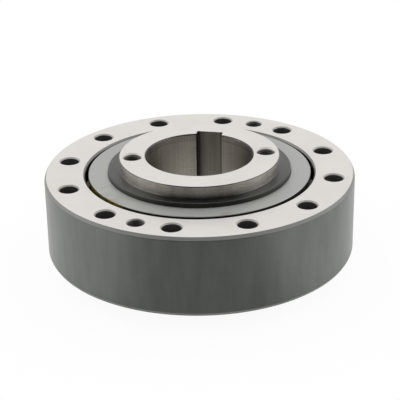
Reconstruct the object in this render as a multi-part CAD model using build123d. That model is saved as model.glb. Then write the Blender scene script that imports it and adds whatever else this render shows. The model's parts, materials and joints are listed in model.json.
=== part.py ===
from build123d import *
import math
import os

# Sprag clutch, open type, for a 100 mm shaft. Millimetres.
# The origin is the centre of the bore at mid-length and +Z is the clutch's axis.
# The keyway is on +Y. Both ends are alike, so the clutch can be fitted either way round.
# Seen from +Z, the inner ring locks anticlockwise and overruns clockwise.

# Outer ring: its wall is outside the ring of sprags, which fill the space between the two tracks
SPRAG_SPACE = 21.5
OUTER_RING_WALL = 38.0
OUTER_WIDTH = 76.0
OUTER_TRACK_CHAMFER = 1.7
RIM_CHAMFER_RADIAL = 1.8
RIM_CHAMFER_AXIAL = 2.9

# Holes for the flange's bolts, through the middle of the outer ring's wall
BOLT_COUNT = 12
BOLT_HOLE_DIAMETER = 17.5
BOLT_HOLE_CHAMFER = 1.2

# Tapped M16 holes: two jacking holes among the flange's bolts, and two blind ones in each collar
TAP_DRILL_DIAMETER = 14.0
JACK_HOLE_CHAMFER = 1.5
JACK_HOLE_ANGLES = (75.0, 255.0)
COLLAR_HOLE_CHAMFER = 2.75
COLLAR_HOLE_ANGLES = (15.0, 195.0)
COLLAR_HOLE_DEPTH = 30.0
DRILL_POINT_ANGLE = 118.0

# Inner ring: the walls of its body and of the collar at each end are outside the bore
BORE_DIAMETER = 100.0
BORE_CHAMFER = 1.0
KEYWAY_WIDTH = 25.0
KEYWAY_DEPTH = 6.2
INNER_RING_WALL = 35.5
INNER_TRACK_CHAMFER = 0.6
BODY_PROJECTION = 4.1
COLLAR_WALL = 24.9
COLLAR_HEIGHT = 11.4
COLLAR_CHAMFER = 0.6

# Cage: two discs on the inner ring, held apart by posts whose tenons seat in both discs
CAGE_DISC_THICKNESS = 6.0
CAGE_DISC_CHAMFER = 0.5
CAGE_TRACK_GAP = 3.1
CAGE_SEAT_CLEARANCE = 0.02
POST_TRACK_GAP = 0.3
POST_EDGE_OFFSET = 4.0
POST_WRAP = 3.4
TENON_WIDTH = 8.0
TENON_HEIGHT = 5.0
TENON_LENGTH = 4.0
MORTISE_END_CLEARANCE = 0.3

# Sprags
SPRAG_COUNT = 18
SPRAG_FOOT_RADIUS = 6.5
SPRAG_FOOT_CLEARANCE = 0.08
SPRAG_NECK_WIDTH = 9.0
SPRAG_HEAD_WIDTH = 13.0
SPRAG_HEAD_HEIGHT = 7.0
SPRAG_HEAD_RADIUS = 9.0
SPRAG_HEAD_OFFSET = 1.2
SPRAG_TAIL_REACH = 4.0
SPRAG_TAIL_TIP_RADIUS = 2.0
SPRAG_TRACK_CLEARANCE = 0.1
SPRAG_END_CLEARANCE = 0.25

# Leaf springs, one for each sprag, with their roots in slots in the posts
SPRING_THICKNESS = 0.6
SPRING_WIDTH = 30.0
SPRING_ROOT_OFFSET = 12.0
SPRING_ROOT_DEPTH = 4.0
SPRING_BEND_HEIGHT = 0.5
SPRING_CONTACT_DEPTH = 3.5
SPRING_CONTACT_CLEARANCE = 0.1

# Sizes that follow from those above
OUTER_HALF = OUTER_WIDTH / 2
BODY_HALF = OUTER_HALF + BODY_PROJECTION
COLLAR_HALF = BODY_HALF + COLLAR_HEIGHT
BORE_RADIUS = BORE_DIAMETER / 2
COLLAR_RADIUS = BORE_RADIUS + COLLAR_WALL
COLLAR_HOLE_CIRCLE_RADIUS = BORE_RADIUS + COLLAR_WALL / 2
INNER_TRACK_RADIUS = BORE_RADIUS + INNER_RING_WALL
OUTER_TRACK_RADIUS = INNER_TRACK_RADIUS + SPRAG_SPACE
BOLT_CIRCLE_RADIUS = OUTER_TRACK_RADIUS + OUTER_RING_WALL / 2
RIM_RADIUS = OUTER_TRACK_RADIUS + OUTER_RING_WALL
CAGE_INNER_FACE = OUTER_HALF - CAGE_DISC_THICKNESS
PIVOT_RADIUS = INNER_TRACK_RADIUS + SPRAG_TRACK_CLEARANCE + SPRAG_FOOT_RADIUS
SPRAG_TIP_RADIUS = OUTER_TRACK_RADIUS - SPRAG_TRACK_CLEARANCE
SPRAG_PITCH = 360.0 / SPRAG_COUNT
POST_INNER_RADIUS = INNER_TRACK_RADIUS + POST_TRACK_GAP
POST_OUTER_RADIUS = PIVOT_RADIUS + POST_WRAP


def turned(points):
    """The solid that a closed (radius, height) outline makes about the clutch's axis."""
    outline = Polyline(*points, close=True)
    return revolve(Plane.XZ * make_face(outline), Axis.Z)


def both_ends(points):
    """An outline given for the upper end, joined to its mirror image at the lower end."""
    return points + [(radius, -height) for radius, height in reversed(points)]


def at_angle(shape, angle):
    """The shape, turned about the clutch's axis."""
    return Rot(0, 0, angle) * shape


def through_hole(diameter, chamfer, half_length, circle_radius):
    """The drill for one hole through a ring, with a chamfer at both of its mouths."""
    radius = diameter / 2
    mouth = radius + chamfer
    drill = turned(both_ends([(0, half_length), (mouth, half_length), (radius, half_length - chamfer)]))
    return Pos(circle_radius, 0, 0) * drill


def blind_hole(diameter, chamfer, top, depth, circle_radius):
    """The drill for one blind hole that opens upwards at the height top."""
    radius = diameter / 2
    floor = top - depth
    point = floor - radius / math.tan(math.radians(DRILL_POINT_ANGLE / 2))
    drill = turned([(0, top), (radius + chamfer, top), (radius, top - chamfer), (radius, floor), (0, point)])
    return Pos(circle_radius, 0, 0) * drill


def make_outer_ring():
    """The flange-mounted outer ring, whose bore is the sprags' outer track."""
    ring = turned(both_ends([
        (OUTER_TRACK_RADIUS, OUTER_HALF - OUTER_TRACK_CHAMFER),
        (OUTER_TRACK_RADIUS + OUTER_TRACK_CHAMFER, OUTER_HALF),
        (RIM_RADIUS - RIM_CHAMFER_RADIAL, OUTER_HALF),
        (RIM_RADIUS, OUTER_HALF - RIM_CHAMFER_AXIAL),
    ]))
    bolt_hole = through_hole(BOLT_HOLE_DIAMETER, BOLT_HOLE_CHAMFER, OUTER_HALF, BOLT_CIRCLE_RADIUS)
    jack_hole = through_hole(TAP_DRILL_DIAMETER, JACK_HOLE_CHAMFER, OUTER_HALF, BOLT_CIRCLE_RADIUS)
    for index in range(BOLT_COUNT):
        ring -= at_angle(bolt_hole, index * 360.0 / BOLT_COUNT)
    for angle in JACK_HOLE_ANGLES:
        ring -= at_angle(jack_hole, angle)
    return ring


def make_inner_ring():
    """The inner ring: bore and keyway, the sprags' inner track, and a collar at each end."""
    ring = turned(both_ends([
        (BORE_RADIUS, COLLAR_HALF - BORE_CHAMFER),
        (BORE_RADIUS + BORE_CHAMFER, COLLAR_HALF),
        (COLLAR_RADIUS - COLLAR_CHAMFER, COLLAR_HALF),
        (COLLAR_RADIUS, COLLAR_HALF - COLLAR_CHAMFER),
        (COLLAR_RADIUS, BODY_HALF),
        (INNER_TRACK_RADIUS - INNER_TRACK_CHAMFER, BODY_HALF),
        (INNER_TRACK_RADIUS, BODY_HALF - INNER_TRACK_CHAMFER),
    ]))
    keyway_floor = BORE_RADIUS + KEYWAY_DEPTH
    ring -= Pos(0, keyway_floor / 2, 0) * Box(KEYWAY_WIDTH, keyway_floor, 2 * COLLAR_HALF)
    tapped_hole = blind_hole(
        TAP_DRILL_DIAMETER, COLLAR_HOLE_CHAMFER, COLLAR_HALF, COLLAR_HOLE_DEPTH, COLLAR_HOLE_CIRCLE_RADIUS
    )
    for angle in COLLAR_HOLE_ANGLES:
        upper = at_angle(tapped_hole, angle)
        ring -= upper
        ring -= mirror(upper, Plane.XY)
    return ring


def make_upper_cage_disc():
    """One cage disc, with a blind mortise in its inner face for each post's tenon."""
    inner = INNER_TRACK_RADIUS + CAGE_SEAT_CLEARANCE
    outer = OUTER_TRACK_RADIUS - CAGE_TRACK_GAP
    disc = turned([
        (inner, CAGE_INNER_FACE),
        (inner, OUTER_HALF - CAGE_DISC_CHAMFER),
        (inner + CAGE_DISC_CHAMFER, OUTER_HALF),
        (outer - CAGE_DISC_CHAMFER, OUTER_HALF),
        (outer, OUTER_HALF - CAGE_DISC_CHAMFER),
        (outer, CAGE_INNER_FACE),
    ])
    depth = TENON_LENGTH + MORTISE_END_CLEARANCE
    mortise = Pos((POST_INNER_RADIUS + POST_OUTER_RADIUS) / 2, 0, CAGE_INNER_FACE + depth / 2) * Box(
        TENON_HEIGHT + 2 * CAGE_SEAT_CLEARANCE, TENON_WIDTH + 2 * CAGE_SEAT_CLEARANCE, depth
    )
    for index in range(SPRAG_COUNT):
        disc -= at_angle(mortise, (index + 0.5) * SPRAG_PITCH)
    return disc


def post_section():
    """A post's outline, between the sprag on +X and the next: it wraps round a side of each foot."""
    ring = Circle(POST_OUTER_RADIUS) - Circle(POST_INNER_RADIUS)
    edge = math.asin(POST_EDGE_OFFSET / PIVOT_RADIUS)
    corners = [(0, 0)]
    for angle in (edge, math.radians(SPRAG_PITCH) - edge):
        corners.append((2 * RIM_RADIUS * math.cos(angle), 2 * RIM_RADIUS * math.sin(angle)))
    section = ring & make_face(Polyline(*corners, close=True))
    foot_seat = Pos(PIVOT_RADIUS, 0) * Circle(SPRAG_FOOT_RADIUS + SPRAG_FOOT_CLEARANCE)
    return section - foot_seat - at_angle(foot_seat, SPRAG_PITCH)


def make_posts():
    """The cage's posts: each has a tenon at both ends, and a slot for the root of a leaf spring."""
    post = Pos(0, 0, -CAGE_INNER_FACE) * extrude(post_section(), 2 * CAGE_INNER_FACE)
    tenons = Box(TENON_HEIGHT, TENON_WIDTH, 2 * (CAGE_INNER_FACE + TENON_LENGTH))
    tenons = Pos((POST_INNER_RADIUS + POST_OUTER_RADIUS) / 2, 0, 0) * tenons
    post += at_angle(tenons, SPRAG_PITCH / 2)
    slot_width = SPRING_THICKNESS + 2 * CAGE_SEAT_CLEARANCE
    slot = Box(2 * SPRING_ROOT_DEPTH, slot_width, SPRING_WIDTH + 2 * CAGE_SEAT_CLEARANCE)
    post -= Pos(POST_OUTER_RADIUS, SPRING_ROOT_OFFSET, 0) * slot
    return [at_angle(post, index * SPRAG_PITCH) for index in range(SPRAG_COUNT)]


def sprag_section():
    """The sprag's outline where it crosses +X: foot towards the axis, head outwards, tail to -Y.

    The foot is round about the pivot, so tilting leaves it on the inner track. The head's arc has
    its centre a little to +Y, so tilting it anticlockwise draws it in from the outer track.
    The tail's weight tilts the sprag that way when the inner ring spins fast.
    """
    foot = Pos(PIVOT_RADIUS, 0) * Circle(SPRAG_FOOT_RADIUS)
    head_circle_radius = SPRAG_TIP_RADIUS - SPRAG_HEAD_RADIUS
    lean = math.asin(SPRAG_HEAD_OFFSET / head_circle_radius)
    head = Pos(head_circle_radius * math.cos(lean), SPRAG_HEAD_OFFSET) * Circle(SPRAG_HEAD_RADIUS)
    underside = SPRAG_TIP_RADIUS - SPRAG_HEAD_HEIGHT
    block = Pos(underside + RIM_RADIUS / 2, 0) * Rectangle(RIM_RADIUS, SPRAG_HEAD_WIDTH)
    neck_length = underside + SPRAG_HEAD_HEIGHT / 2 - PIVOT_RADIUS
    neck = Pos(PIVOT_RADIUS + neck_length / 2, 0) * Rectangle(neck_length, SPRAG_NECK_WIDTH)
    tail_tip = Pos(
        underside + SPRAG_TAIL_TIP_RADIUS,
        SPRAG_TAIL_TIP_RADIUS - SPRAG_TAIL_REACH - SPRAG_HEAD_WIDTH / 2,
    ) * Circle(SPRAG_TAIL_TIP_RADIUS)
    tail_side = Pos(underside + RIM_RADIUS / 2, -RIM_RADIUS / 2) * Rectangle(RIM_RADIUS, RIM_RADIUS)
    tail = make_hull(head.edges() + tail_tip.edges()) & tail_side
    return foot + neck + (head & block) + tail


def make_sprag():
    """One sprag on +X, as long as the cage leaves room for."""
    half_length = CAGE_INNER_FACE - SPRAG_END_CLEARANCE
    return Pos(0, 0, -half_length) * extrude(sprag_section(), 2 * half_length)


def strip(start, bend, end, thickness):
    """The outline of a bent strip of even thickness along two straight runs."""
    first = (bend - start).normalized().rotate(Axis.Z, 90)
    last = (end - bend).normalized().rotate(Axis.Z, 90)
    mitre = (first + last) / (1 + first.dot(last))
    half = thickness / 2
    one_side = [start + first * half, bend + mitre * half, end + last * half]
    other_side = [end - last * half, bend - mitre * half, start - first * half]
    return make_face(Polyline(*one_side, *other_side, close=True))


def make_springs():
    """One leaf spring for each sprag: its tip presses the sprag's head towards the outer track."""
    root = Vector(POST_OUTER_RADIUS - SPRING_ROOT_DEPTH + CAGE_SEAT_CLEARANCE, SPRING_ROOT_OFFSET)
    bend = Vector(POST_OUTER_RADIUS + SPRING_BEND_HEIGHT, SPRING_ROOT_OFFSET)
    tip = Vector(
        SPRAG_TIP_RADIUS - SPRING_CONTACT_DEPTH,
        SPRAG_HEAD_WIDTH / 2 + SPRING_CONTACT_CLEARANCE + SPRING_THICKNESS / 2,
    )
    section = strip(root, bend, tip, SPRING_THICKNESS)
    spring = Pos(0, 0, -SPRING_WIDTH / 2) * extrude(section, SPRING_WIDTH)
    return [at_angle(spring, index * SPRAG_PITCH) for index in range(SPRAG_COUNT)]


def save(shape, name):
    """Writes one node: a solid, or a group of separate solids."""
    if isinstance(shape, list):
        shape = Compound(children=[piece.solid() for piece in shape])
    export_step(shape, f"parts/{name}.step")


os.makedirs("parts", exist_ok=True)
save(make_outer_ring(), "outer_ring")
save(make_inner_ring(), "inner_ring")
upper_disc = make_upper_cage_disc()
save(upper_disc, "upper_cage_disc")
save(mirror(upper_disc, Plane.XY), "lower_cage_disc")
save(make_posts(), "cage_posts")
save(make_springs(), "sprag_springs")
sprag = make_sprag()
for number in range(SPRAG_COUNT):
    save(at_angle(sprag, number * SPRAG_PITCH), f"sprag_{number + 1:02d}")
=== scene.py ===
import json
import math

import bmesh
import bpy
from mathutils import Matrix, Vector


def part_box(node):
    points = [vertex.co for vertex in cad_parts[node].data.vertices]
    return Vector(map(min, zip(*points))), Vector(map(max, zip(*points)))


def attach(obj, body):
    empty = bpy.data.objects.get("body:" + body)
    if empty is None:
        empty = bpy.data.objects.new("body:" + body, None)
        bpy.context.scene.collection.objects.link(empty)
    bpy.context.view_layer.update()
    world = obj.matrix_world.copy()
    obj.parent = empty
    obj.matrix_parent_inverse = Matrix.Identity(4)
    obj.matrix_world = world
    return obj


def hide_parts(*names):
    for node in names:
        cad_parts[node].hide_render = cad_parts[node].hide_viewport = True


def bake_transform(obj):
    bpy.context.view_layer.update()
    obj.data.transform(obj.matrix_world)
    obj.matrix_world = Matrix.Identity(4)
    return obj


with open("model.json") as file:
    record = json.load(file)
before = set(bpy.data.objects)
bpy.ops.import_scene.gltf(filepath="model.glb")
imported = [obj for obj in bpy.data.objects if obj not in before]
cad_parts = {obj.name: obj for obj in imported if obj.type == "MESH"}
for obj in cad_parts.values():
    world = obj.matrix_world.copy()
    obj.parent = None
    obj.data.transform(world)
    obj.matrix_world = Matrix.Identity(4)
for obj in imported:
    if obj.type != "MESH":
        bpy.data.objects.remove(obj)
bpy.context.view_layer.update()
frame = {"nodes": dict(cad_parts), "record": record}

# ---------------------------------------------------------------- sizes, in metres
# What the frame gives
record = frame["record"]
mounts = {mount["name"]: mount for mount in record["mounts"]}
SPRAGS = sorted(name for name in record["behaviour"]["bodies"] if name.startswith("sprag_"))


def mount_length(mount, dimension):
    """A mount's dimension, in metres."""
    return mounts[mount]["dims"][dimension] / 1000


def scaled(shares, length):
    """These shares of a length."""
    return [share * length for share in shares]


RIM_RADIUS = mount_length("outer_diameter", "r_mm")
RIM_LENGTH = mount_length("outer_diameter", "length_mm")
OUTER_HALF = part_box("outer_ring")[1].z
INNER_TRACK_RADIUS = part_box("inner_ring")[1].x
COLLAR_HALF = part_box("inner_ring")[1].z
DISC_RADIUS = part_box("upper_cage_disc")[1].x
BORE_RADIUS = mount_length("shaft_bore", "r_mm")
BORE_LENGTH = mount_length("shaft_bore", "length_mm")
BOLT_HOLE_RADIUS = mount_length("flange_bolts", "hole_r_mm")
BOLT_CIRCLE_RADIUS = mount_length("flange_bolts", "pcd_mm") / 2
BOLT_COUNT = mounts["flange_bolts"]["dims"]["count"]
TAP_DRILL_RADIUS = mount_length("jack_hole_1", "r_mm")

# Sizes that the frame doesn't give, the same as the solids have
OUTER_TRACK_RADIUS = 0.107
OUTER_TRACK_CHAMFER = 0.0017
RIM_CHAMFER = 0.0018
BOLT_HOLE_CHAMFER = 0.0012
JACK_HOLE_CHAMFER = 0.0015
BODY_HALF = 0.0421
BODY_CHAMFER = 0.0006
COLLAR_RADIUS = 0.0749
COLLAR_CHAMFER = 0.0006
COLLAR_HOLE_CHAMFER = 0.00275
COLLAR_HOLE_DEPTH = 0.030
DRILL_POINT_DEPTH = 0.0042
KEYWAY_HALF_WIDTH = 0.0125
KEYWAY_FLOOR = 0.0562

# The threads, which the solids don't have. The flat is a share of half the pitch, and each crest
# and root has one.
THREAD_PITCH = 0.002
THREAD_DEPTH = 0.00095
THREAD_FLAT = 0.1

# A leaf spring's middle line runs from its root in a cage post, round a bend, to its tip
SPRING_THICKNESS = 0.0006
SPRING_WIDTH = 0.030
SPRING_ROOT = (0.09152, 0.01200)
SPRING_BEND = (0.09600, 0.01200)
SPRING_TIP = (0.10340, 0.00690)
SPRING_BEND_LENGTH = 0.0006

# Roundings, which the solids don't have, and how fine the meshes are
EDGE_RADIUS = 0.0003
RIM_EDGE_RADIUS = 0.0025
KEYWAY_CORNER_RADIUS = 0.0005
LARGEST_ROUND_SHARE = 0.4
ROUND_STEPS = 4
LATHE_STEPS = 288
HOLE_STEPS = 48
THREAD_ROWS = 6
KEYWAY_CORNER_STEPS = 3
SPRING_STEPS = 12
SPRING_BEND_STEPS = 4
SHARP_ANGLE = math.radians(24)
WELD_DISTANCE = 1e-7


# ---------------------------------------------------------------- materials
def linear(red, green, blue):
    """An sRGB colour, from 0 to 255, as the linear colour that a shader takes."""
    def channel(value):
        value /= 255
        return value / 12.92 if value <= 0.04045 else ((value + 0.055) / 1.055) ** 2.4

    return channel(red), channel(green), channel(blue), 1.0


class Finish:
    """The nodes of a material or world in the making.

    Apart from node, feed and metal, each method adds nodes and returns what they put out.
    """

    def __init__(self, owner):
        self.owner = owner
        owner.use_nodes = True
        self.tree = owner.node_tree
        self.tree.nodes.clear()

    def node(self, kind, inputs=(), **settings):
        """A new node itself, with its inputs linked or set."""
        node = self.tree.nodes.new(kind)
        for key, value in settings.items():
            setattr(node, key, value)
        for key, value in dict(inputs).items():
            self.feed(node.inputs[key], value)
        return node

    def feed(self, socket, value):
        """Links a socket to another node's output, or sets its value."""
        if isinstance(value, bpy.types.NodeSocket):
            self.tree.links.new(value, socket)
        else:
            socket.default_value = value

    def place(self):
        """The point's place on the part, in metres."""
        return self.node("ShaderNodeTexCoord").outputs["Object"]

    def parts(self, vector):
        return self.node("ShaderNodeSeparateXYZ", {"Vector": vector}).outputs

    def outward(self):
        """The direction from the origin to the point."""
        inputs = {0: self.place()}
        return self.node("ShaderNodeVectorMath", inputs, operation="NORMALIZE").outputs[0]

    def nearness(self, direction, middle):
        """The cosine of the angle between two directions."""
        inputs = {0: direction, 1: middle}
        return self.node("ShaderNodeVectorMath", inputs, operation="DOT_PRODUCT").outputs["Value"]

    def math(self, operation, first, second=0.0, third=0.0):
        inputs = {0: first, 1: second, 2: third}
        return self.node("ShaderNodeMath", inputs, operation=operation).outputs[0]

    def radius(self, xyz):
        """How far a point is from the clutch's axis."""
        x_square = self.math("MULTIPLY", xyz["X"], xyz["X"])
        return self.math("SQRT", self.math("MULTIPLY_ADD", xyz["Y"], xyz["Y"], x_square))

    def polar(self, radial, around, along):
        """Texture coordinates that follow the clutch's axis, each stretched by its own factor."""
        xyz = self.parts(self.place())
        radius = self.math("MULTIPLY", self.radius(xyz), radial)
        angle = self.math("ARCTAN2", xyz["Y"], xyz["X"])
        # sine and cosine of the angle have no seam where the angle jumps
        vector = self.node("ShaderNodeCombineXYZ", {
            "X": self.math("MULTIPLY", self.math("COSINE", angle), around),
            "Y": self.math("MULTIPLY_ADD", self.math("SINE", angle), around, radius),
            "Z": self.math("MULTIPLY", xyz["Z"], along),
        })
        return vector.outputs[0]

    def noise(self, vector, scale=1.0, detail=2.0, roughness=0.5):
        return self.node("ShaderNodeTexNoise", {
            "Vector": vector, "Scale": scale, "Detail": detail, "Roughness": roughness,
        }).outputs["Fac"]

    def tool_lines(self, radial, around, along):
        """The fine lines that a turning tool leaves."""
        return self.noise(self.polar(radial, around, along), detail=3.0, roughness=0.65)

    def spread(self, value, low, high, start=0.3, end=0.7):
        """The value, moved from between start and end to between low and high.

        Without a start and an end, it suits a noise.
        """
        return self.node("ShaderNodeMapRange", {
            "Value": value, "From Min": start, "From Max": end, "To Min": low, "To Max": high,
        }).outputs[0]

    def mix_value(self, factor, first, second):
        change = self.math("SUBTRACT", second, first)
        return self.math("MULTIPLY_ADD", factor, change, first)

    def mix(self, factor, first, second, blend="MIX"):
        node = self.node("ShaderNodeMix", data_type="RGBA", blend_type=blend)
        # the colour inputs and output, which share their names with those for numbers
        for index, value in ((0, factor), (6, first), (7, second)):
            self.feed(node.inputs[index], value)
        return node.outputs[2]

    def two_tone(self, factor, first, second):
        """From the first to the second sRGB colour, as the factor goes from 0 to 1."""
        return self.mix(factor, linear(*first), linear(*second))

    def dimmed(self, colour, value):
        inputs = {"Red": value, "Green": value, "Blue": value}
        grey = self.node("ShaderNodeCombineColor", inputs).outputs[0]
        return self.mix(1.0, colour, grey, "MULTIPLY")

    def bump(self, height, distance):
        return self.node("ShaderNodeBump", {"Height": height, "Distance": distance}).outputs[0]

    def metal(self, colour, roughness, normal, metallic=1.0, turned=0.0):
        """Adds the shader and returns the material.

        Turned is how far the tool lines round the axis stretch what the metal mirrors. The
        quarter turn sets the stretch across the lines.
        """
        shader = self.node("ShaderNodeBsdfPrincipled", {
            "Base Color": colour, "Roughness": roughness, "Metallic": metallic, "Normal": normal,
            "Anisotropic": turned, "Anisotropic Rotation": 0.25,
        })
        if turned:
            tangent = self.node("ShaderNodeTangent", direction_type="RADIAL", axis="Z").outputs[0]
            self.feed(shader.inputs["Tangent"], tangent)
        self.node("ShaderNodeOutputMaterial", {"Surface": shader.outputs[0]})
        return self.owner


def new_finish(name):
    return Finish(bpy.data.materials.new(name))


def machined(name, light, dark, roughness, radial=0.0, along=0.0, around=6.0, depth=4e-6,
             cloud=0.06, streaks=None, metallic=1.0, turned=0.0):
    """Machined steel: tool lines round the axis, soft clouds of tone, and uneven gloss.

    Radial, along and around set how fine the lines are. Streaks, as (around, along), turn the
    clouds into streaks that run along the axis.
    """
    finish = new_finish(name)
    lines = finish.tool_lines(radial, around, along)
    if streaks:
        clouds = finish.noise(finish.polar(0.0, *streaks), detail=4.0)
    else:
        clouds = finish.noise(finish.place(), scale=28.0, detail=4.0)
    tone = finish.two_tone(finish.spread(lines, 0.0, 1.0), dark, light)
    tone = finish.dimmed(tone, finish.spread(clouds, 1 - cloud, 1 + cloud))
    gloss = finish.spread(lines, roughness - 0.05, roughness + 0.05)
    return finish.metal(tone, gloss, finish.bump(lines, depth), metallic, turned)


ground_face = machined("ground_face", light=(219, 216, 211), dark=(211, 208, 203), roughness=0.38,
                       radial=5200, around=9, cloud=0.03, metallic=0.35)
rim_wall = machined("rim_wall", light=(105, 107, 104), dark=(97, 99, 96), roughness=0.42,
                    along=2600, around=9, cloud=0.09, streaks=(14, 22), turned=0.5)
rim_chamfer = machined("rim_chamfer", light=(139, 140, 137), dark=(129, 130, 127), roughness=0.55,
                       radial=3000, along=3000, metallic=0.4)
track_wall = machined("track_wall", light=(84, 83, 78), dark=(66, 65, 61), roughness=0.30,
                      along=3600)
track_chamfer = machined("track_chamfer", light=(130, 128, 124), dark=(120, 118, 114),
                         roughness=0.30, radial=1200, along=1200, metallic=0.9)
hole_wall = machined("hole_wall", light=(96, 95, 92), dark=(78, 77, 74), roughness=0.45,
                     radial=400, along=3000, around=60, metallic=0.5)
hole_mouth = machined("hole_mouth", light=(180, 179, 175), dark=(164, 163, 159), roughness=0.50,
                      radial=900, along=900, metallic=0.35)
shelf_face = machined("shelf_face", light=(76, 77, 75), dark=(68, 69, 67), roughness=0.28,
                      radial=4200, metallic=0.92, turned=0.6)
collar_wall = machined("collar_wall", light=(180, 177, 169), dark=(162, 159, 151), roughness=0.24,
                       along=3200, streaks=(30, 2), turned=0.85)
post_steel = machined("post_steel", light=(150, 150, 148), dark=(130, 130, 128), roughness=0.35,
                      along=900)
sprag_steel = machined("sprag_steel", light=(92, 90, 82), dark=(76, 74, 66), roughness=0.55,
                       along=1800)
spring_steel = machined("spring_steel", light=(140, 138, 130), dark=(110, 108, 100),
                        roughness=0.30, along=1200)

# A collar hole's countersink turns dark between these depths, as painted shade in the hole
COUNTERSINK_SHADE = (0.0011, 0.0016)


def countersink_finish():
    """A collar hole's countersink: bright as the ground face outside, painted shade further in."""
    finish = new_finish("countersink")
    place = finish.place()
    height = finish.math("ABSOLUTE", finish.parts(place)["Z"])
    lines = finish.noise(place, scale=900.0, detail=3.0)
    shallow, deep = COUNTERSINK_SHADE
    # painted shade: the countersink darkens deeper in the hole
    inside = finish.spread(height, 1.0, 0.0, COLLAR_HALF - deep, COLLAR_HALF - shallow)
    tone = finish.two_tone(inside, (218, 215, 210), (92, 91, 87))
    gloss = finish.spread(lines, 0.4, 0.5)
    return finish.metal(tone, gloss, finish.bump(lines, 3e-6), metallic=0.35)


# The height at which the bore's darker end bands start, with a thin groove between
BORE_BAND = 0.0472
BORE_BAND_TONE = 0.86
BORE_BAND_EDGE = 0.0002
BORE_GROOVE_TONE = 0.7
BORE_GROOVE_WIDTH = 0.0006


def bore_finish():
    """The bored wall, with a darker band where the bore opens at each end."""
    finish = new_finish("bore_wall")
    height = finish.math("ABSOLUTE", finish.parts(finish.place())["Z"])
    lines = finish.tool_lines(radial=0, around=9, along=1500)
    streaks = finish.noise(finish.polar(radial=0, around=60, along=3), detail=4.0)
    tone = finish.two_tone(finish.spread(lines, 0.0, 1.0), (180, 176, 169), (200, 196, 189))
    tone = finish.dimmed(tone, finish.spread(streaks, 0.86, 1.14))
    band = finish.spread(height, 1.0, BORE_BAND_TONE, BORE_BAND - BORE_BAND_EDGE, BORE_BAND)
    beside = finish.math("ABSOLUTE", finish.math("SUBTRACT", height, BORE_BAND))
    groove = finish.spread(beside, BORE_GROOVE_TONE, 1.0, 0.0, BORE_GROOVE_WIDTH)
    tone = finish.dimmed(finish.dimmed(tone, band), groove)
    gloss = finish.spread(lines, 0.29, 0.39)
    return finish.metal(tone, gloss, finish.bump(lines, 5e-6), turned=0.5)


# Across the keyway, as shares of its half width: where the painted shade towards one side wall
# ends, and where a painted shade line along each side wall's corner fades in and out
KEYWAY_SHADE_END = -0.3
KEYWAY_SHADE_TONE = 0.45
KEYWAY_CORNER_SHADE_IN = (0.76, 0.83)
KEYWAY_CORNER_SHADE_OUT = (0.975, 0.99)
KEYWAY_CORNER_SHADE_DEPTH = 0.5


def keyway_finish():
    """The broached keyway, with painted shade in its corners and towards one side wall."""
    finish = new_finish("keyway_wall")
    across = finish.parts(finish.place())["X"]
    stretched = finish.node("ShaderNodeVectorMath", {0: finish.place(), 1: (1400, 1400, 30)},
                            operation="MULTIPLY").outputs[0]
    lines = finish.noise(stretched, detail=3.0)
    tone = finish.two_tone(finish.spread(lines, 0.0, 1.0), (128, 125, 119), (150, 147, 141))
    # painted shade: darker towards the side wall at -X
    shade = finish.spread(across, KEYWAY_SHADE_TONE, 1.0,
                          -KEYWAY_HALF_WIDTH, KEYWAY_SHADE_END * KEYWAY_HALF_WIDTH)
    tone = finish.dimmed(tone, shade)
    # painted shade in the floor's corners along both side walls
    beside = finish.math("ABSOLUTE", across)
    fade_in = finish.spread(beside, 0.0, 1.0, *scaled(KEYWAY_CORNER_SHADE_IN, KEYWAY_HALF_WIDTH))
    fade_out = finish.spread(beside, 0.0, 1.0, *scaled(KEYWAY_CORNER_SHADE_OUT, KEYWAY_HALF_WIDTH))
    line = finish.math("MULTIPLY", finish.math("SUBTRACT", fade_in, fade_out), KEYWAY_CORNER_SHADE_DEPTH)
    tone = finish.dimmed(tone, finish.math("SUBTRACT", 1.0, line))
    gloss = finish.spread(lines, 0.38, 0.46)
    return finish.metal(tone, gloss, finish.bump(lines, 3e-6))


countersink = countersink_finish()
bore_wall = bore_finish()
keyway_wall = keyway_finish()

# With less than 1, the discs keep some tone where they mirror the dark side of the room
DISC_METALLIC = 0.8
# The disc's dark side wall, painted shade of the gap to the outer ring, starts between these
# distances from its edge
DISC_GAP_SHADE = (0.00015, 0.00005)
# The grease on the upper disc's side wall: how far in it reaches, the direction of its middle,
# and the cosines between which it fades
GREASE_REACH = (0.0006, 0.0003)
GREASE_MIDDLE = (math.cos(math.radians(214)), math.sin(math.radians(214)), 0.35)
GREASE_SPREAD = (0.955, 0.985)


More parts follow.
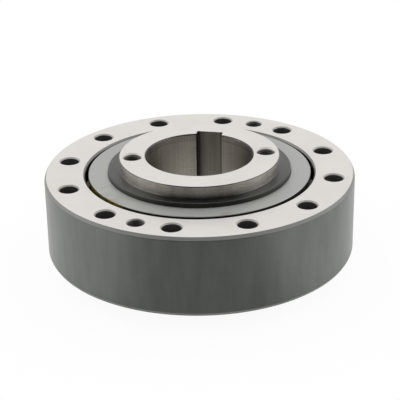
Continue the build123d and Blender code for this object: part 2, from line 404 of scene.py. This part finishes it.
def cage_disc(name, greased):
    """Satin steel with faint brown stains, a side wall of painted shade that may carry grease."""
    finish = new_finish(name)
    radius = finish.radius(finish.parts(finish.place()))

    def within(distances):
        """A value that rises from 0 to 1 between these distances from the disc's edge."""
        return finish.spread(radius, 0.0, 1.0, *(DISC_RADIUS - distance for distance in distances))

    lines = finish.tool_lines(radial=2600, around=6, along=0)
    tone = finish.two_tone(finish.spread(lines, 0.0, 1.0), (164, 165, 161), (174, 175, 171))
    stains = finish.noise(finish.place(), scale=42.0, detail=3.0)
    tone = finish.mix(finish.spread(stains, 0.0, 0.45, 0.58, 0.74), tone, linear(140, 118, 98))
    # painted shade on the disc's side wall, in the gap to the outer ring
    side = within(DISC_GAP_SHADE)
    tone = finish.mix(side, tone, linear(48, 47, 42))
    gloss = finish.math("MULTIPLY_ADD", side, 0.2, finish.spread(lines, 0.35, 0.45))
    metallic = DISC_METALLIC
    if greased:
        nearness = finish.nearness(finish.outward(), GREASE_MIDDLE)
        patch = finish.spread(nearness, 0.0, 1.0, *GREASE_SPREAD)
        lumps = finish.noise(finish.place(), scale=420.0, detail=3.0)
        lumps = finish.spread(lumps, 0.0, 1.0, 0.38, 0.5)
        grease = finish.math("MULTIPLY", patch, lumps)
        grease = finish.math("MULTIPLY", grease, within(GREASE_REACH))
        tone = finish.mix(grease, tone, linear(116, 106, 38))
        gloss = finish.math("MULTIPLY_ADD", grease, -0.3, gloss)
        bare = finish.math("SUBTRACT", 1.0, grease)
        metallic = finish.math("MULTIPLY", DISC_METALLIC, bare)
    return finish.metal(tone, gloss, finish.bump(lines, 4e-6), metallic, turned=0.7)


upper_disc_face = cage_disc("upper_disc_face", greased=True)
lower_disc_face = cage_disc("lower_disc_face", greased=False)


# ---------------------------------------------------------------- shapes
def arc(start, corner, end, steps):
    """Points on a smooth curve that leaves start towards the corner and comes in to end from it."""
    points = []
    for step in range(steps + 1):
        t = step / steps
        points.append(start * (1 - t) ** 2 + corner * 2 * t * (1 - t) + end * t ** 2)
    return points


def rounded(points):
    """The outline with each corner rounded.

    A point is (r, z, material), and its material is that of the run after it. A fourth value is
    its own radius.
    """
    result = []
    for index, (r, z, slot, *own) in enumerate(points):
        radius = own[0] if own else EDGE_RADIUS
        here = Vector((r, z))
        before = Vector(points[index - 1][:2]) - here
        after = Vector(points[(index + 1) % len(points)][:2]) - here
        shortest = min(before.length, after.length)
        reach = min(radius, LARGEST_ROUND_SHARE * shortest)
        start = here + before.normalized() * reach
        end = here + after.normalized() * reach
        for step, place in enumerate(arc(start, here, end, ROUND_STEPS)):
            run = slot if step >= ROUND_STEPS / 2 else points[index - 1][2]
            result.append((place.x, place.y, run))
    return result


def both_ends(points, wall):
    """An outline given for the upper end, joined to its mirror image.

    The last run is the wall between the ends.
    """
    lower = []
    for index in range(len(points) - 1, -1, -1):
        r, z, _, *own = points[index]
        lower.append((r, -z, points[index - 1][2] if index else wall, *own))
    return points + lower


def ring_of(mesh, radii, height):
    """A ring of vertices round the axis, with a radius for each. A single nought is a pole."""
    ring = []
    for step, radius in enumerate(radii):
        turn = math.tau * step / len(radii)
        ring.append(mesh.verts.new((radius * math.cos(turn), radius * math.sin(turn), height)))
    return ring


def faces_between(mesh, lower, upper):
    """New faces between two rings of vertices. One ring may be a pole, and two poles have none."""
    steps = max(len(lower), len(upper))
    faces = []
    for step in range(steps if steps > 1 else 0):
        corners = [ring[(step + more) % len(ring)]
                   for ring, more in ((lower, 0), (lower, 1), (upper, 1), (upper, 0))]
        faces.append(mesh.faces.new(list(dict.fromkeys(corners))))
    return faces


def lathe(outline, steps):
    """A closed mesh: the (r, z, material) outline turned about the Z axis."""
    mesh = bmesh.new()
    rings = [ring_of(mesh, [r] * steps if r else [0], z) for r, z, _ in outline]
    for index, lower in enumerate(rings):
        for face in faces_between(mesh, lower, rings[(index + 1) % len(rings)]):
            face.material_index = outline[index][2]
    bmesh.ops.recalc_face_normals(mesh, faces=mesh.faces)
    return mesh


def bar(outlines):
    """A closed mesh that runs through these outlines, each a list of points."""
    mesh = bmesh.new()
    rings = [[mesh.verts.new(point) for point in outline] for outline in outlines]
    for lower, upper in zip(rings, rings[1:]):
        faces_between(mesh, lower, upper)
    mesh.faces.new(rings[0])
    mesh.faces.new(rings[-1])
    bmesh.ops.recalc_face_normals(mesh, faces=mesh.faces)
    return mesh


def add_object(name, mesh, materials):
    data = bpy.data.meshes.new(name)
    mesh.to_mesh(data)
    mesh.free()
    for material in materials:
        data.materials.append(material)
    piece = bpy.data.objects.new(name, data)
    bpy.context.scene.collection.objects.link(piece)
    return piece


def cut(piece, cutters):
    """Cuts the cutters' shapes out of the piece, and deletes them."""
    for cutter in cutters:
        modifier = piece.modifiers.new("cut", "BOOLEAN")
        modifier.operation = "DIFFERENCE"
        modifier.solver = "EXACT"
        modifier.object = cutter
        bpy.context.view_layer.update()
        graph = bpy.context.evaluated_depsgraph_get()
        data = bpy.data.meshes.new_from_object(piece.evaluated_get(graph))
        piece.modifiers.remove(modifier)
        data.name = piece.name
        piece.data = data
        bpy.data.objects.remove(cutter)


def shade(piece):
    """Smooth shading, broken at the edges that are sharp."""
    mesh = bmesh.new()
    mesh.from_mesh(piece.data)
    bmesh.ops.remove_doubles(mesh, verts=mesh.verts, dist=WELD_DISTANCE)
    bmesh.ops.dissolve_degenerate(mesh, edges=mesh.edges, dist=WELD_DISTANCE)
    for face in mesh.faces:
        face.smooth = True
    for edge in mesh.edges:
        edge.smooth = len(edge.link_faces) == 2 and edge.calc_face_angle() < SHARP_ANGLE
    mesh.to_mesh(piece.data)
    mesh.free()


def at_angle(mesh, radius, degrees):
    """Moves a mesh from the axis out to that radius, at that angle from +X."""
    turn = Matrix.Rotation(math.radians(degrees), 4, "Z")
    mesh.transform(turn @ Matrix.Translation((radius, 0, 0)))
    return mesh


def mount_angle(name):
    """How far round from +X a mount is, in degrees."""
    x, y, _ = mounts[name]["pos_m"]
    return math.degrees(math.atan2(y, x))


def joined(meshes):
    """One mesh of all these."""
    whole = bmesh.new()
    for mesh in meshes:
        data = bpy.data.meshes.new("part")
        mesh.to_mesh(data)
        mesh.free()
        whole.from_mesh(data)
        bpy.data.meshes.remove(data)
    return whole


def plain_hole(radius, chamfer, half, wall, mouth):
    """The cutter for one hole through a ring, chamfered at both mouths."""
    top = half + chamfer
    return lathe(both_ends([
        (0, top, mouth),
        (radius + 2 * chamfer, top, mouth),
        (radius, half - chamfer, wall),
    ], wall), HOLE_STEPS)


def thread_radius(turn, height):
    """The radius of a thread's wall: straight flanks between a narrow crest and root."""
    phase = (height / THREAD_PITCH - turn) % 1.0
    flank = (abs(2 * phase - 1) - THREAD_FLAT) / (1 - 2 * THREAD_FLAT)
    return TAP_DRILL_RADIUS + THREAD_DEPTH * min(1.0, max(0.0, flank))


def tapped_hole(low, high, chamfer, wall, mouth, point_depth=0.0):
    """The cutter for a tapped hole from low up to the face at high, with a chamfered mouth.

    It ends in the drill's point, or if point_depth is nought it runs right through the ring.
    """
    def depth(z):
        """How far inside the nearest mouth a height is."""
        return high - z if point_depth else min(high - z, z - low)

    def wall_radius(turn, z):
        return max(thread_radius(turn, z), TAP_DRILL_RADIUS + chamfer - depth(z))

    mesh = bmesh.new()
    turns = [step / HOLE_STEPS for step in range(HOLE_STEPS)]
    rows = round((high - low) / THREAD_PITCH * THREAD_ROWS)
    rings = []
    for row in range(rows + 1):
        z = low + (high - low) * row / rows
        rings.append(ring_of(mesh, [wall_radius(turn, z) for turn in turns], z))
    # outside a mouth, the cutter goes on widening as far as its chamfer is deep
    widest = [TAP_DRILL_RADIUS + 2 * chamfer] * HOLE_STEPS
    if not point_depth:
        rings.insert(0, ring_of(mesh, widest, low - chamfer))
    rings.append(ring_of(mesh, widest, high + chamfer))
    rings.insert(0, ring_of(mesh, [0], low - (point_depth or chamfer)))
    rings.append(ring_of(mesh, [0], high + chamfer))
    for lower, upper in zip(rings, rings[1:]):
        for face in faces_between(mesh, lower, upper):
            in_chamfer = depth(face.calc_center_median().z) < chamfer - THREAD_DEPTH / 2
            face.material_index = mouth if in_chamfer else wall
    bmesh.ops.recalc_face_normals(mesh, faces=mesh.faces)
    return mesh


def make_outer_ring():
    finishes = [ground_face, rim_chamfer, rim_wall, track_wall, hole_wall, hole_mouth,
                track_chamfer]
    face, chamfer, rim, track, wall, mouth, inner_chamfer = range(len(finishes))
    outline = both_ends([
        (OUTER_TRACK_RADIUS, OUTER_HALF - OUTER_TRACK_CHAMFER, inner_chamfer),
        (OUTER_TRACK_RADIUS + OUTER_TRACK_CHAMFER, OUTER_HALF, face),
        (RIM_RADIUS - RIM_CHAMFER, OUTER_HALF, chamfer),
        (RIM_RADIUS, RIM_LENGTH / 2, rim, RIM_EDGE_RADIUS),
    ], track)
    ring = add_object("outer_ring_shell", lathe(rounded(outline), LATHE_STEPS), finishes)
    holes = []
    for index in range(BOLT_COUNT):
        bolt_hole = plain_hole(BOLT_HOLE_RADIUS, BOLT_HOLE_CHAMFER, OUTER_HALF, wall, mouth)
        holes.append(at_angle(bolt_hole, BOLT_CIRCLE_RADIUS, 360 * index / BOLT_COUNT))
    for name in ("jack_hole_1", "jack_hole_2"):
        jack_hole = tapped_hole(-OUTER_HALF, OUTER_HALF, JACK_HOLE_CHAMFER, wall, mouth)
        holes.append(at_angle(jack_hole, BOLT_CIRCLE_RADIUS, mount_angle(name)))
    cut(ring, [add_object("cutter", joined(holes), finishes)])
    shade(ring)
    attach(ring, "outer")
    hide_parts("outer_ring")


def keyway_cutter(wall):
    """A bar as wide as the key, with rounded corners, that runs past both ends of the bore."""
    radius = KEYWAY_CORNER_RADIUS
    outline = [(-KEYWAY_HALF_WIDTH, 0), (KEYWAY_HALF_WIDTH, 0)]
    for side in (1, -1):
        for step in range(KEYWAY_CORNER_STEPS + 1):
            share = step / KEYWAY_CORNER_STEPS
            turn = math.pi / 2 * (share if side > 0 else 1 - share)
            outline.append((side * (KEYWAY_HALF_WIDTH - radius + radius * math.cos(turn)),
                            KEYWAY_FLOOR - radius + radius * math.sin(turn)))
    half_length = COLLAR_HALF + KEYWAY_HALF_WIDTH
    mesh = bar([[(x, y, z) for x, y in outline] for z in (-half_length, half_length)])
    for face in mesh.faces:
        face.material_index = wall
    return mesh


def make_inner_ring():
    finishes = [ground_face, collar_wall, shelf_face, track_wall, bore_wall, keyway_wall,
                hole_wall, countersink]
    face, collar, shelf, track, bore, keyway, wall, mouth = range(len(finishes))
    bore_chamfer = COLLAR_HALF - BORE_LENGTH / 2
    outline = both_ends([
        (BORE_RADIUS, BORE_LENGTH / 2, shelf),
        (BORE_RADIUS + bore_chamfer, COLLAR_HALF, face),
        (COLLAR_RADIUS - COLLAR_CHAMFER, COLLAR_HALF, shelf),
        (COLLAR_RADIUS, COLLAR_HALF - COLLAR_CHAMFER, collar),
        (COLLAR_RADIUS, BODY_HALF, shelf),
        (INNER_TRACK_RADIUS - BODY_CHAMFER, BODY_HALF, shelf),
        (INNER_TRACK_RADIUS, BODY_HALF - BODY_CHAMFER, track),
    ], bore)
    ring = add_object("inner_ring_shell", lathe(rounded(outline), LATHE_STEPS), finishes)
    holes = []
    for name in ("collar_hole_top_1", "collar_hole_top_2"):
        x, y, _ = mounts[name]["pos_m"]
        for end in ("top", "bottom"):
            tap = tapped_hole(COLLAR_HALF - COLLAR_HOLE_DEPTH, COLLAR_HALF, COLLAR_HOLE_CHAMFER,
                              wall, mouth, DRILL_POINT_DEPTH)
            if end == "bottom":
                tap.transform(Matrix.Rotation(math.pi, 4, "X"))
            holes.append(at_angle(tap, math.hypot(x, y), mount_angle(name)))
    cut(ring, [
        add_object("cutter", joined(holes), finishes),
        add_object("cutter", keyway_cutter(keyway), finishes),
    ])
    shade(ring)
    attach(ring, "inner")
    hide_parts("inner_ring")


def spring_line():
    """A leaf spring's middle line from its root to its tip, on a plane across the axis."""
    root, bend, tip = Vector(SPRING_ROOT), Vector(SPRING_BEND), Vector(SPRING_TIP)
    before = bend + (root - bend).normalized() * SPRING_BEND_LENGTH
    after = bend + (tip - bend).normalized() * SPRING_BEND_LENGTH
    blade = [after.lerp(tip, (step + 1) / SPRING_STEPS) for step in range(SPRING_STEPS)]
    return [root] + arc(before, bend, after, SPRING_BEND_STEPS) + blade


def spring_mesh(points):
    """A strip of even thickness along the points."""
    outlines = []
    for index, point in enumerate(points):
        along = points[min(index + 1, len(points) - 1)] - points[max(index - 1, 0)]
        across = Vector((-along.y, along.x)).normalized() * SPRING_THICKNESS / 2
        outlines.append([(*(point + across * side), height * SPRING_WIDTH / 2)
                         for side, height in ((1, 1), (-1, 1), (-1, -1), (1, -1))])
    return bar(outlines)


def make_springs():
    """The leaf springs, one for each sprag. Each has its root in the cage."""
    for index, sprag in enumerate(SPRAGS):
        turn = Matrix.Rotation(math.tau * index / len(SPRAGS), 4, "Z")
        mesh = spring_mesh(spring_line())
        mesh.transform(turn)
        spring = add_object(sprag.replace("sprag", "spring"), mesh, [spring_steel])
        shade(spring)
        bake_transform(spring)
        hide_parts("sprag_springs")


def finish_nodes():
    """Finishes for the CAD nodes that stay."""
    finishes = {
        "cage_posts": post_steel,
        "upper_cage_disc": upper_disc_face,
        "lower_cage_disc": lower_disc_face,
        **{sprag: sprag_steel for sprag in SPRAGS},
    }
    for name, finish in finishes.items():
        for slot in frame["nodes"][name].material_slots:
            slot.material = finish


make_outer_ring()
make_inner_ring()
make_springs()
finish_nodes()

# ---------------------------------------------------------------- floor, light and camera
FLOOR_RADIUS = 8.0
FLOOR_STEPS = 96
FLOOR_HEIGHT = -COLLAR_HALF

CAMERA_AZIMUTH = math.radians(11.3)
CAMERA_ELEVATION = math.radians(23.49)
CAMERA_PITCH = math.radians(24.80)
CAMERA_ROLL = math.radians(-1.007)
CAMERA_DISTANCE = 1.2633
CAMERA_LENS = 121.26
CAMERA_SENSOR_WIDTH = 36.0

# In what the steel mirrors, the room and the floor are dark on the front side and bright on the
# others. They fade between two angles from the middle of the front, and the two strengths are the
# darkest and the brightest.
DARK_AZIMUTH = math.radians(12)
DARK_ELEVATION = math.radians(30)
ROOM_DARK_ANGLES = (math.radians(42), math.radians(66))
ROOM_STRENGTHS = (0.0, 0.98)
FLOOR_DARK_ANGLES = (math.radians(20), math.radians(52))
FLOOR_STRENGTHS = (0.62, 1.45)
# The strength of the light that falls on the part from the room
FALLING_STRENGTH = 0.8

# How much of the floor is plain white to the camera and in mirrors. The rest takes the light.
FLOOR_WHITE_SHARE = 0.93
FLOOR_MIRRORED_SHARE = 0.7
# Mirrors see that white outside the rim and in the bore, with these edges as shares of the radii
RIM_FLOOR_EDGE = (0.95, 1.15)
BORE_FLOOR_EDGE = (1.0, 1.2)


def direction(azimuth, elevation):
    """A direction from the part. An azimuth of nought is -Y, and it grows towards +X."""
    flat = math.cos(elevation)
    return Vector((math.sin(azimuth) * flat, -math.cos(azimuth) * flat, math.sin(elevation)))


def dark_side(finish, looked_at, elevation, angles, strengths):
    """A strength that falls towards the middle of the dark side, at this elevation."""
    near, far = (math.cos(angle) for angle in angles)
    darkest, brightest = strengths
    return finish.node("ShaderNodeMapRange", {
        "Value": finish.nearness(looked_at, direction(DARK_AZIMUTH, elevation)),
        "From Min": far, "From Max": near, "To Min": brightest, "To Max": darkest,
    }, interpolation_type="SMOOTHSTEP").outputs[0]


def make_floor():
    """A pale floor: white to the camera, with some of the part's shadow left in it."""
    finish = new_finish("floor")
    paper = finish.bump(finish.noise(finish.place(), scale=900.0), 2e-5)
    inputs = {"Color": linear(250, 250, 250), "Normal": paper}
    matt = finish.node("ShaderNodeBsdfDiffuse", inputs).outputs[0]
    path = finish.node("ShaderNodeLightPath").outputs
    mirrored_strength = dark_side(finish, finish.outward(), 0.0, FLOOR_DARK_ANGLES,
                                  FLOOR_STRENGTHS)
    strength = finish.mix_value(path["Is Camera Ray"], mirrored_strength, 1.0)
    inputs = {"Color": (1, 1, 1, 1), "Strength": strength}
    white = finish.node("ShaderNodeEmission", inputs).outputs[0]
    radius = finish.radius(finish.parts(finish.place()))
    outside = finish.spread(radius, 0.0, 1.0, *scaled(RIM_FLOOR_EDGE, RIM_RADIUS))
    inside = finish.spread(radius, 1.0, 0.0, *scaled(BORE_FLOOR_EDGE, BORE_RADIUS))
    mirrored = finish.math("MAXIMUM", path["Is Glossy Ray"], path["Is Transmission Ray"])
    mirrored = finish.math("MULTIPLY", mirrored, finish.math("MAXIMUM", outside, inside))
    mirrored = finish.math("MULTIPLY", mirrored, FLOOR_MIRRORED_SHARE)
    whiteness = finish.math("MULTIPLY_ADD", path["Is Camera Ray"], FLOOR_WHITE_SHARE, mirrored)
    mixed = finish.node("ShaderNodeMixShader", {0: whiteness, 1: matt, 2: white}).outputs[0]
    finish.node("ShaderNodeOutputMaterial", {"Surface": mixed})
    mesh = bmesh.new()
    bmesh.ops.create_circle(mesh, cap_ends=True, segments=FLOOR_STEPS, radius=FLOOR_RADIUS)
    floor = add_object("floor", mesh, [finish.owner])
    floor.location.z = FLOOR_HEIGHT


def make_world():
    """A white studio. In what the steel mirrors, its front side is darker."""
    world = bpy.data.worlds.new("studio")
    finish = Finish(world)
    path = finish.node("ShaderNodeLightPath").outputs
    looked_at = finish.node("ShaderNodeTexCoord").outputs["Generated"]
    mirrored = dark_side(finish, looked_at, DARK_ELEVATION, ROOM_DARK_ANGLES, ROOM_STRENGTHS)
    excess = finish.math("SUBTRACT", mirrored, FALLING_STRENGTH)
    excess = finish.math("MULTIPLY", path["Is Glossy Ray"], excess)
    plain = finish.math("MAXIMUM", path["Is Camera Ray"], path["Is Transmission Ray"])
    lit = finish.math("MULTIPLY_ADD", plain, 1 - FALLING_STRENGTH, FALLING_STRENGTH)
    inputs = {"Color": (1, 1, 1, 1), "Strength": finish.math("ADD", lit, excess)}
    light = finish.node("ShaderNodeBackground", inputs).outputs[0]
    finish.node("ShaderNodeOutputWorld", {"Surface": light})
    bpy.context.scene.world = world


def softbox(name, place, size, power):
    """A soft lamp that points at the part and that the camera doesn't see."""
    light = bpy.data.lights.new(name, "AREA")
    light.shape = "RECTANGLE"
    light.size, light.size_y = size
    light.energy = power
    lamp = bpy.data.objects.new(name, light)
    lamp.visible_camera = False
    lamp.location = place
    lamp.rotation_euler = (-Vector(place)).to_track_quat("-Z", "Y").to_euler()
    bpy.context.scene.collection.objects.link(lamp)


def make_camera():
    data = bpy.data.cameras.new("camera")
    data.lens = CAMERA_LENS
    data.sensor_width = CAMERA_SENSOR_WIDTH
    camera = bpy.data.objects.new("camera", data)
    middle = Vector((0, 0, OUTER_HALF))
    place = middle + direction(CAMERA_AZIMUTH, CAMERA_ELEVATION) * CAMERA_DISTANCE
    turn = Matrix.Rotation(CAMERA_AZIMUTH, 4, "Z")
    pitch = Matrix.Rotation(math.pi / 2 - CAMERA_PITCH, 4, "X")
    roll = Matrix.Rotation(CAMERA_ROLL, 4, "Z")
    camera.matrix_world = Matrix.Translation(place) @ turn @ pitch @ roll
    bpy.context.scene.collection.objects.link(camera)
    bpy.context.scene.camera = camera


make_floor()
make_world()
softbox("top_light", place=(0, 0.5, 2.2), size=(2.4, 2.0), power=12)
softbox("left_light", place=(-1.5, 0.1, 0.7), size=(1.3, 0.9), power=2.8)
softbox("right_light", place=(1.5, 0.6, 0.7), size=(1.3, 0.9), power=2.6)
make_camera()
bpy.context.scene.view_settings.view_transform = "Standard"
